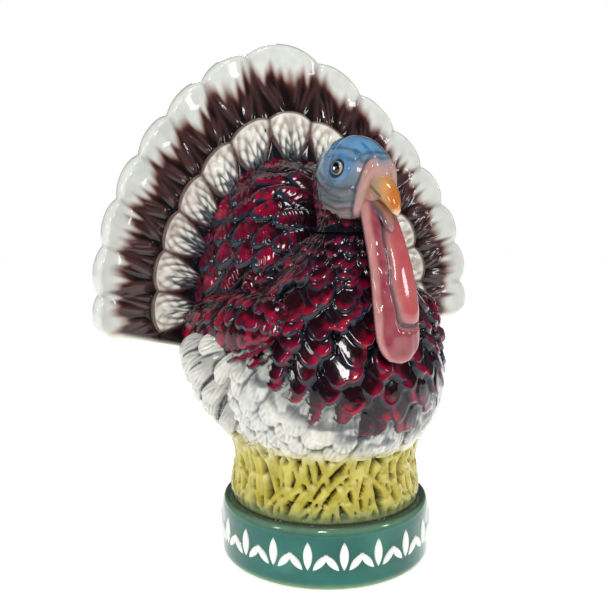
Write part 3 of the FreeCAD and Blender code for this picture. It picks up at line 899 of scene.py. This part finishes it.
def build_rump():
    """Soft under-tail feathers behind the fan's root, hanging in rows that spread downwards."""
    skin = Skin(rump_surface, np.linspace(0.003, 1.62, 150), full_turn(420), RUMP_C, wrap=True)
    for row, z in enumerate(np.arange(140.0, 66.0, -7.5)):
        for k in range(-7, 8):
            x = 6.4 * (k + 0.5 * (row % 2)) + rng.normal(0, 0.4)
            across, up = x / RUMP_S[0], (z - RUMP_C[2]) / RUMP_S[2]
            if math.hypot(across, up) < 0.98:
                flow = (0.012 * x + rng.normal(0, 0.08), 0.0, -1.0)
                skin.feather(math.asin(math.hypot(across, up)), math.atan2(across, up), flow, 19.0,
                             rng.uniform(3.6, 4.6), lift=2.0, crown=0.5, barb=0.4, pitch=2.0, slant=1.2,
                             rim=0.3, bend=rng.normal(0.0, 1.0), nose=1.4)
    skin.height -= 1.6
    skin.soften()
    colour = mix(BROWN, cream_paint(skin, 1.0), step(150.0, 96.0, skin.base[..., 2]) * 0.5 + 0.5)
    colour = mix(colour, UMBER, 0.6 * step(112.0, 138.0, skin.base[..., 2] + 6.0 * (skin.tint - 0.5)))
    finish(skin.mesh("under_tail_feathers", colour), PALE_GLAZE, "decanter", "cream_glaze", "rump")


# ------------------------------------------------------------------ head
HEAD_C = np.array([0.0, -25.6, 176.4])
HEAD_S = np.array([14.2, 22.8, 18.2])
EYE = np.array([11.9, -34.2, 179.5])
EYE_R = 3.7


def head_surface(u, v):
    fall = np.cos(u)
    round_r = np.where(fall < 0, (1.0 - np.abs(fall) ** 3.6) ** (1.0 / 3.6), np.sin(u))
    p = HEAD_C + HEAD_S * xyz(round_r * np.cos(v), round_r * np.sin(v), fall * np.where(fall < 0, 1.05, 1.0))
    snout = np.exp(-(p[..., 0] / 8.0) ** 2 - ((p[..., 2] - 176.0) / 8.5) ** 2) * step(-30.0, -44.0, p[..., 1])
    p[..., 1] -= 4.2 * snout
    return p


def near_line(p, points):
    """Distance of p from a polyline."""
    best = np.full(p.shape[:-1], 1e9)
    for a, b in zip(points[:-1], points[1:]):
        a, b = np.asarray(a, float), np.asarray(b, float)
        ab = b - a
        t = clamp(((p - a) @ ab) / (ab @ ab))
        best = np.minimum(best, np.linalg.norm(p - (a + t[..., None] * ab), axis=-1))
    return best


FOLDS = [      # wrinkles of the left side of the face: a line and how far it stands out
    ([(13.0, -28.0, 171.5), (12.0, -36.0, 169.0), (9.5, -41.0, 169.5)], 0.9),
    ([(13.0, -24.0, 167.5), (11.5, -33.0, 164.5), (8.5, -40.0, 165.0)], 1.0),
    ([(12.0, -20.0, 163.0), (10.0, -30.0, 160.0), (7.0, -38.0, 159.8)], 1.0),
    ([(13.5, -18.0, 178.0), (13.6, -24.0, 174.0), (13.2, -30.0, 172.6)], 0.6),
    ([(12.6, -28.0, 187.0), (11.0, -35.0, 186.5), (8.0, -42.0, 184.0)], 0.7),
    ([(6.0, -46.0, 183.5), (0.0, -48.5, 184.5)], 0.8),
]
FACE_STRIP = [(2.6, -50.0, 185.0), (5.6, -49.0, 178.0), (7.2, -46.5, 171.0), (7.6, -44.0, 164.0),
              (7.4, -41.0, 158.0)]


def build_head():
    """Bare head: blue crown, grey wrinkled cheeks and a ringed eye socket."""
    skin = Skin(head_surface, np.linspace(0.003, 3.12, 150), full_turn(260), HEAD_C, wrap=True)
    p = skin.base
    q = xyz(np.abs(p[..., 0]), p[..., 1], p[..., 2])
    to_eye = np.linalg.norm((q - EYE) * np.array([0.6, 1.0, 1.15]), axis=-1)
    height = 0.8 * bell(to_eye - 5.0, 0.9) - 1.6 * bell(to_eye, 3.6, 4)
    crease = np.zeros_like(height)
    for line, amount in FOLDS:
        d = near_line(q, line)
        height += amount * bell(d, 1.7)
        crease = np.maximum(crease, bell(d - 2.1, 0.8))
    strip = near_line(q, FACE_STRIP)
    skin.height = height + 1.5 * bell(strip, 2.2, 4) + 0.5 * (noise(p, 5.0, 41) - 0.5)
    z = p[..., 2] + 3.5 * (noise(p, 7.0, 42) - 0.5)
    streaks = noise(p * np.array([1.6, 0.5, 0.5]), 3.0, 43)
    face = step(-43.0, -48.5, p[..., 1] - 0.10 * (z - 176.0))
    outer = bell(strip - 2.9, 0.75) * step(186.0, 181.0, z)
    behind = q[..., 0] > np.interp(p[..., 2], [158, 164, 171, 178, 184], [7.2, 7.4, 7.0, 5.4, 3.0])
    colour = coats(srgb(150, 126, 122), [
        (srgb(104, 108, 112), step(159.0, 167.0, z)),
        (srgb(104, 130, 150), step(170.0, 180.0, z)),
        (srgb(92, 140, 176), step(181.0, 190.0, z)),
        (srgb(44, 98, 146), 0.75 * step(0.48, 0.75, streaks) * step(179.0, 187.0, z)),
        (srgb(186, 140, 122), 0.75 * face * step(185.0, 178.0, z)),
        # painted shade: slate in the creases beside each fold
        (srgb(56, 66, 80), 0.60 * crease),
        (srgb(172, 128, 120), 0.85 * bell(strip, 2.0, 4) * step(184.0, 177.0, z)),
        (srgb(44, 58, 74), 0.85 * outer * behind),
        (srgb(164, 84, 40), 0.80 * outer * (1.0 - behind) * step(178.0, 172.0, z)),
        (srgb(58, 116, 168), 0.75 * bell(to_eye - 6.2, 0.9)),
        (srgb(34, 42, 52), 0.9 * bell(to_eye - 4.2, 0.6)),
        (srgb(50, 34, 44), 0.8 * step(161.0, 158.0, p[..., 2]))])
    finish(skin.mesh("bare_head", colour), SMOOTH_GLAZE, "stopper", "blue_glaze", "head_shell")


COLLAR_Z = [153.0, 154.3, 157.0, 160.0, 164.0, 168.0, 172.0, 176.0, 180.0, 184.0, 187.0]
collar_half = profile(COLLAR_Z, [17.1, 16.4, 15.3, 14.4, 13.9, 13.8, 13.8, 13.7, 13.0, 11.6, 9.6], 0.7)
collar_front = profile(COLLAR_Z, [-43.0, -42.3, -40.5, -38.5, -36.5, -35.0, -34.0, -33.0, -32.0, -30.0,
                                  -28.0], 0.7)
collar_back = profile(COLLAR_Z, [-7.9, -9.3, -8.8, -6.8, -3.8, -2.4, -1.9, -1.9, -2.8, -4.9, -8.0], 0.7)


def collar_surface(u, v):
    middle = (collar_front(u) + collar_back(u)) / 2.0
    return xyz(collar_half(u) * np.cos(v), middle + (collar_back(u) - middle) * np.sin(v), u + 0.0 * v)


def build_head_seat():
    """Feathered nape and collar of the head, with the unglazed peg under it that holds the cork."""
    skin = Skin(collar_surface, np.arange(153.0, 187.0, 0.5), full_turn(220), (0, -24.0, 165), wrap=True)
    for row, z in enumerate((185.0, 180.5, 176.0, 171.6, 167.2, 163.0, 159.2, 155.6)):
        for k in range(17):
            turn = 2.0 * math.pi * (k + 0.5 * (row % 2) + rng.normal(0, 0.1)) / 17
            skin.feather(z + rng.normal(0, 0.5), turn, (rng.normal(0, 0.15), 0.1, -1.0), 8.5,
                         rng.uniform(2.6, 3.6), lift=1.3, crown=0.2, barb=0.1, rim=0.2, drop=0.5)
    skin.height -= 1.2
    skin.soften()
    skin.height = np.where(skin.u < 156.0, np.clip(skin.height, -0.1, 0.6), skin.height)
    shadow = step(157.0, 153.6, skin.u + 2.4 * (noise(skin.base, 2.2, 15) - 0.5))
    colour = mix(maroon_paint(skin, 0.30, 0.22, 0.16), INK, 0.9 * shadow)
    finish(skin.mesh("head_collar", colour), FEATHER_GLAZE, "stopper", "maroon_glaze")
    outline = [(0.2, 133.3), (4.2, 133.3), (4.5, 134.0), (4.5, 154.3), (14.6, 154.3), (15.2, 154.8)]
    finish(lathe("head_seat", outline, 96, rim_paint, y=-26.5), BISQUE, "stopper", "blue_glaze")


def build_eyes():
    """Painted eyes: grey-blue iris and black pupil, with a white glint that is a painted highlight."""
    tilt, turn = np.meshgrid(np.linspace(0.0, math.pi, 48), full_turn(64), indexing="ij")
    facing = unit(np.array([0.86, -0.49, 0.10]))
    up = unit(np.array([0.0, 0.3, 1.0]) - facing * np.dot(facing, [0.0, 0.3, 1.0]))
    side = np.cross(facing, up)
    along, across, over = np.cos(tilt), np.sin(tilt) * np.cos(turn), np.sin(tilt) * np.sin(turn)
    ball = along[..., None] * facing + across[..., None] * side + over[..., None] * up
    pupil = np.hypot(0.84 * over, 1.10 * (across + 0.02))
    glint = np.hypot(0.8 * (over + 0.02), across + 0.18)
    colour = coats(srgb(96, 140, 172), [
        (srgb(176, 164, 146), step(0.10, 0.50, across - 0.6 * over)),
        (srgb(28, 40, 54), step(0.70, 0.82, np.hypot(over, across))),
        (srgb(6, 6, 10), step(0.62, 0.54, pupil)),
        # painted highlight: the white glint
        (srgb(250, 250, 252), step(0.17, 0.12, glint))])
    left = grid_object("eye_left", EYE + EYE_R * ball - 0.9 * facing, colour, False, wrap=True)
    finish_pair(left, EYE_GLAZE, "stopper", "eye_glaze", "left_eye")


def tube(stations, count, power=2.0):
    """Closed form along stations of (y, z, half_width, half_depth), cross-sections square to the path.

    Gives the grid of points, the place along the path from 0 to 1, and each point's place across and ahead.
    """
    stations = np.array(stations, float)
    fine = np.linspace(0, len(stations) - 1, 22 * (len(stations) - 1) + 1)
    shape = np.stack([profile(np.arange(len(stations)), stations[:, k], 0.45)(fine) for k in range(4)], -1)
    close = np.sqrt(clamp(np.minimum(fine / 0.35, (fine[-1] - fine) / 0.35)))
    ahead = unit(np.gradient(shape[:, :2], axis=0))
    turn = full_turn(count)
    side = np.sign(np.cos(turn)) * np.abs(np.cos(turn)) ** (2.0 / power)
    face = np.sign(np.sin(turn)) * np.abs(np.sin(turn)) ** (2.0 / power)
    x = (shape[:, 2] * close)[:, None] * side
    out = (shape[:, 3] * close)[:, None] * face
    grid = xyz(x, shape[:, :1] + out * ahead[:, 1:], shape[:, 1:2] - out * ahead[:, :1])
    place = np.broadcast_to((fine / fine[-1])[:, None], x.shape)
    return grid, place, side, face


def tube_object(name, grid, colour):
    """Object from a tube's grid, with its faces looking outwards."""
    centre = grid.reshape(-1, 3).mean(0)
    normal = np.cross(np.gradient(grid, axis=0), np.roll(grid, -1, axis=1) - np.roll(grid, 1, axis=1))
    return grid_object(name, grid, colour, np.sum(normal * (grid - centre)) < 0, wrap=True)


def build_beak():
    """Upper beak, tan to orange, and under it the lower beak with the tongue-like flap at its end."""
    stations = [(-44.0, 174.0, 6.0, 5.6), (-49.0, 172.0, 5.6, 5.2), (-54.5, 169.0, 4.4, 4.4),
                (-59.0, 164.5, 3.0, 3.0), (-61.3, 159.6, 1.2, 1.2)]
    grid, place, side, face = tube(stations, 64)
    warm = place - 0.30 * np.abs(side) + 0.10 * np.sign(face) + 0.05
    slit = bell(near_line(np.abs(grid), [(5.2, 49.5, 171.5), (4.2, 54.5, 167.6)]), 0.7)
    colour = coats(srgb(158, 134, 112), [
        (srgb(190, 140, 84), step(0.20, 0.45, warm)),
        (srgb(182, 108, 44), step(0.42, 0.72, warm)),
        (srgb(222, 190, 150), step(0.86, 0.98, place)),
        (srgb(70, 50, 40), 0.9 * slit)])
    finish(tube_object("beak_top", grid, colour), SMOOTH_GLAZE, "stopper", "beak_glaze", "beak_upper")
    stations = [(-45.0, 166.0, 4.8, 2.4), (-51.5, 161.8, 4.2, 2.0), (-55.2, 157.5, 3.2, 1.6),
                (-57.0, 153.0, 1.4, 0.9)]
    grid, place, side, _ = tube(stations, 48)
    edge = step(0.45, 0.9, np.abs(side) + 0.3 * (noise(grid, 2.5, 54) - 0.5))
    colour = coats(srgb(160, 112, 88), [
        (srgb(158, 112, 108), step(0.3, 0.8, place)),
        (srgb(84, 78, 88), 0.9 * edge)])
    finish(tube_object("beak_bottom", grid, colour), SMOOTH_GLAZE, "stopper", "beak_glaze", "beak_lower")


def build_wattle():
    """Snood and wattle: a narrow strip and a broad lobe side by side on one hanging flap."""
    stations = [(-37.5, 173.0, 5.6, 4.0), (-44.8, 163.0, 7.4, 4.8), (-50.5, 152.0, 8.6, 4.4),
                (-55.5, 142.0, 9.2, 4.2), (-58.8, 132.0, 9.9, 4.1), (-61.0, 122.0, 10.3, 4.0),
                (-62.8, 112.0, 10.2, 3.8), (-63.5, 107.5, 9.4, 3.5), (-63.9, 103.6, 7.2, 3.0),
                (-64.2, 100.6, 3.2, 2.0)]
    grid, _, _, face = tube(stations, 120, power=2.4)
    x, z = grid[..., 0], grid[..., 2]
    half = np.interp(z, [100.6, 103.6, 107.5, 112.0, 122.0, 132.0, 142.0, 152.0, 171.0],
                     [3.2, 7.2, 9.4, 10.2, 10.3, 9.9, 9.2, 8.6, 6.0])
    t = x / half
    in_front = step(0.0, 0.5, face)
    lobe_side = -0.22 + 0.06 * np.sin(z / 8.0) + 0.04 * np.sin(z / 3.1)
    left, low, right = (t - lobe_side) * half, z - 115.5, (1.12 - t) * half
    inner = -2.6 * np.logaddexp(np.logaddexp(-left / 2.6, -low / 2.6), -right / 2.6)   # mm inside the lobe
    groove = bell(inner + 0.4, 0.8) * step(1.0, 0.93, t)
    puff = 1.3 * step(-0.4, 3.5, inner) + 0.6 * step(-0.5, -3.0, inner) * (1.0 - np.abs(t) ** 3)
    wrinkle = 1.8 * (noise(grid * np.array([1.0, 1.0, 0.40]), 3.0, 51) - 0.5) * step(0.5, -1.5, inner)
    grid[..., 1] -= in_front * step(170.0, 160.0, z) * (puff - 1.5 * groove + wrinkle)
    pale = srgb(178, 124, 120)
    lobe = mix(srgb(164, 66, 74), srgb(178, 92, 92), noise(grid, 8.0, 52))
    lobe = mix(lobe, pale, 0.85 * step(3.4, 0.0, inner))
    core = step(0.6, 2.6, np.minimum(-inner, (1.0 + t) * half)) * (0.65 + 0.35 * noise(grid, 3.0, 53))
    strip = mix(pale, srgb(132, 50, 64), core)
    edge = np.maximum(step(0.26, 0.06, 1.0 - np.abs(t)), step(105.0, 101.0, z))
    colour = coats(np.where((inner < -0.4)[..., None], strip, lobe), [
        (pale, 0.7 * edge),
        (srgb(72, 66, 80), 0.9 * groove * in_front),
        (srgb(30, 36, 50), 0.95 * step(0.22, -0.20, face)),
        (srgb(112, 132, 150), 0.6 * step(160.0, 168.0, z) * step(0.6, 0.2, face))])
    finish(tube_object("wattle_flap", grid, colour), SMOOTH_GLAZE, "stopper", "wattle_glaze", "wattle")


def build_cork():
    def paint(grid):
        return mix(srgb(196, 152, 104), srgb(150, 104, 62), noise(grid, 2.2, 61) ** 2)

    outline = [(4.6, 134.3), (8.2, 134.3), (9.1, 135.3), (9.2, 154.2), (4.6, 154.2)]
    finish(lathe("cork_sleeve", outline, 96, paint, y=-26.0), CORK, "stopper", "cork", "stopper_cork")


# ------------------------------------------------------------------ stage
CAMERA_AT = (-162.6, -310.1, 156.0)      # mm
CAMERA_TURN = 26.0                       # degrees round from straight in front
CAMERA_DIP = 6.12                        # degrees below level
CAMERA_LENS = 43.7                       # mm on a 36 mm sensor
ROOM_FILL = 0.62                         # brightness of the white room as it lights the object
ROOM_GLOSS = 0.06                        # and as its glaze mirrors it


def area_light(name, at, aim_height, width, height, watts):
    data = bpy.data.lights.new(name, "AREA")
    data.energy = watts
    data.shape = "RECTANGLE"
    data.size, data.size_y = width, height
    obj = bpy.data.objects.new(name, data)
    obj.location = at
    obj.rotation_euler = (Vector((0, 0, aim_height)) - Vector(at)).to_track_quat("-Z", "Y").to_euler()
    bpy.context.scene.collection.objects.link(obj)


def build_stage():
    bpy.ops.mesh.primitive_plane_add(size=6.0, location=(0, 0, 0))
    floor = bpy.context.object
    floor.name = "floor"
    white, tree, shader = new_material("floor_white")
    feed(tree, shader, Base_Color=(0.86, 0.86, 0.86, 1.0), Roughness=0.6,
         Emission_Color=(1.0, 1.0, 1.0, 1.0), Emission_Strength=0.55)
    floor.data.materials.append(white)
    world = bpy.data.worlds.new("studio")
    world.use_nodes = True
    tree = world.node_tree
    rays = new_node(tree, "LightPath").outputs
    dim = new_node(tree, "MapRange", Value=rays["Is Glossy Ray"], To_Min=ROOM_FILL, To_Max=ROOM_GLOSS)
    seen = new_node(tree, "Math")
    seen.operation = "MAXIMUM"
    tree.links.new(rays["Is Camera Ray"], seen.inputs[0])
    tree.links.new(dim.outputs["Result"], seen.inputs[1])
    feed(tree, tree.nodes["Background"], Color=(1.0, 1.0, 1.0, 1.0), Strength=seen.outputs["Value"])
    bpy.context.scene.world = world
    area_light("key", (-0.42, -0.72, 0.62), 0.12, 0.13, 0.18, 2.4)
    area_light("side", (-0.85, -0.15, 0.40), 0.12, 0.10, 0.22, 1.0)
    area_light("fill", (0.62, -0.70, 0.45), 0.12, 0.12, 0.20, 1.2)
    area_light("top", (0.0, -0.20, 0.95), 0.10, 0.16, 0.16, 1.6)
    area_light("rear", (0.25, 0.85, 0.6), 0.12, 0.20, 0.20, 1.4)
    camera = bpy.data.cameras.new("camera")
    camera.lens = CAMERA_LENS
    camera.sensor_width = 36.0
    camera.dof.use_dof = False
    obj = bpy.data.objects.new("camera", camera)
    obj.location = [c * MM for c in CAMERA_AT]
    obj.rotation_euler = (math.radians(90.0 - CAMERA_DIP), 0.0, math.radians(-CAMERA_TURN))
    bpy.context.scene.collection.objects.link(obj)
    bpy.context.scene.camera = obj
    bpy.context.scene.view_settings.view_transform = "Standard"


build_plinth()
build_frieze()
build_grass()
build_body()
build_neck_rim()
build_hump()
build_wings()
build_quills()
build_fan()
build_coverts()
build_rump()
build_head()
build_head_seat()
build_eyes()
build_beak()
build_wattle()
build_cork()
build_stage()
